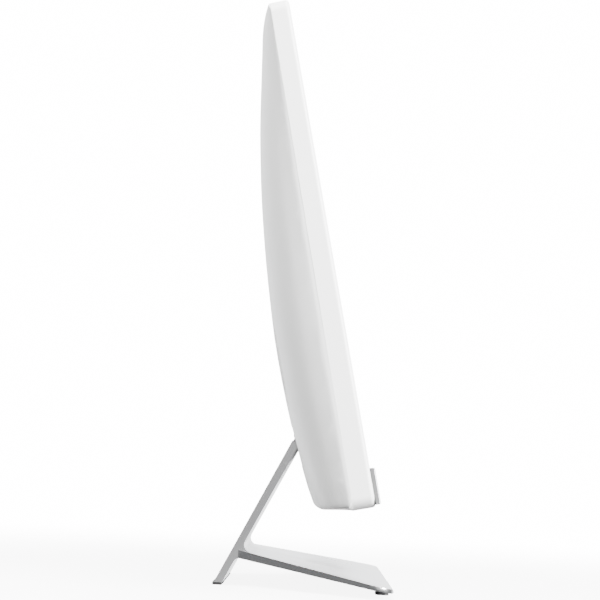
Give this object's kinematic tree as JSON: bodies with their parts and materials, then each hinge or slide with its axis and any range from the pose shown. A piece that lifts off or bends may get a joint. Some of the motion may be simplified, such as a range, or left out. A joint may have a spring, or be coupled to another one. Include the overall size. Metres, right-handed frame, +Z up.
{
  "type": "all in one pc",
  "caption": "Desktop computer built into a slim white display, tilting on a one-piece aluminium stand with a leaning neck plate and a wide base plate.",
  "frame": {"origin": "bottom centre of the whole object, on the floor", "axes": "+X along the display's width, -Y the way the screen faces, +Z up"},
  "size_m": [0.539, 0.136, 0.4122],
  "materials": {
    "white_plastic": "satin, very fine texture",
    "bar_metal": "fine blasted, grey",
    "stand_metal": "brushed, clear anodised",
    "black_plastic": "fine texture",
    "screen": "anti-glare film, off",
    "light_guide": "clear sheet",
    "sheet_steel": "zinc plated",
    "turned_steel": "dark plated",
    "circuit_board": "solder mask",
    "chip_black": "moulded",
    "copper": "drawn copper",
    "fin_metal": "rolled",
    "lens_glass": "coated lens",
    "flat_cable": "film",
    "button_plastic": "satin",
    "rubber": "soft matt"
  },
  "bodies": {
    "stand": {"stand_bracket": "stand_metal", "front_pads": "rubber", "rear_pad": "rubber"},
    "display": {"front_frame": "white_plastic", "rear_shell": "white_plastic", "chin_bar": "bar_metal", "screen_bezel": "black_plastic", "hinge_pocket": "black_plastic", "port_panel": "black_plastic", "memory_socket": "black_plastic", "storage_socket": "black_plastic", "blower_housing": "black_plastic", "power_inlet": "black_plastic", "audio_jack": "black_plastic", "usb_tongues": "black_plastic", "power_switch": "black_plastic", "drive_caddy": "black_plastic", "speaker_left": "black_plastic", "speaker_right": "black_plastic", "lcd_panel": "screen", "light_guide": "light_guide", "chassis_plate": "sheet_steel", "backlight_tray": "sheet_steel", "hinge_bracket": "sheet_steel", "usb_cans": "sheet_steel", "video_port": "sheet_steel", "network_jack": "sheet_steel", "heat_plate": "sheet_steel", "wireless_card": "sheet_steel", "disk_drive": "sheet_steel", "hinge_pins": "turned_steel", "hinge_screws": "turned_steel", "shell_screws": "turned_steel", "board_screws": "turned_steel", "board_standoffs": "turned_steel", "hinge_posts": "turned_steel", "port_board_posts": "turned_steel", "coin_cell": "turned_steel", "mainboard": "circuit_board", "port_board": "circuit_board", "memory_modules": "circuit_board", "storage_module": "circuit_board", "camera_board": "circuit_board", "switch_board": "circuit_board", "processor": "chip_black", "heat_pipe": "copper", "fin_stack": "fin_metal", "camera_lens": "lens_glass", "panel_cable": "flat_cable"},
    "power_button": {"power_button": "button_plastic"},
    "fan": {"blower_impeller": "chip_black"}
  },
  "joints": [
    {"name": "display_tilt", "type": "hinge", "parent": "stand", "child": "display", "pos_m": [0, 0.00511, 0.1179], "axis": [1, 0, 0], "range_deg": [-12.5, 17]},
    {"name": "power_press", "type": "slide", "parent": "display", "child": "power_button", "axis": [0, 0.212, 0.9773], "range_m": [0, 0.0006], "stiffness_N_per_m": 400},
    {"name": "fan_spin", "type": "hinge", "parent": "display", "child": "fan", "pos_m": [-0.131, 0.00028, 0.17362], "axis": [0, 0.9773, -0.212], "continuous": true}
  ]
}
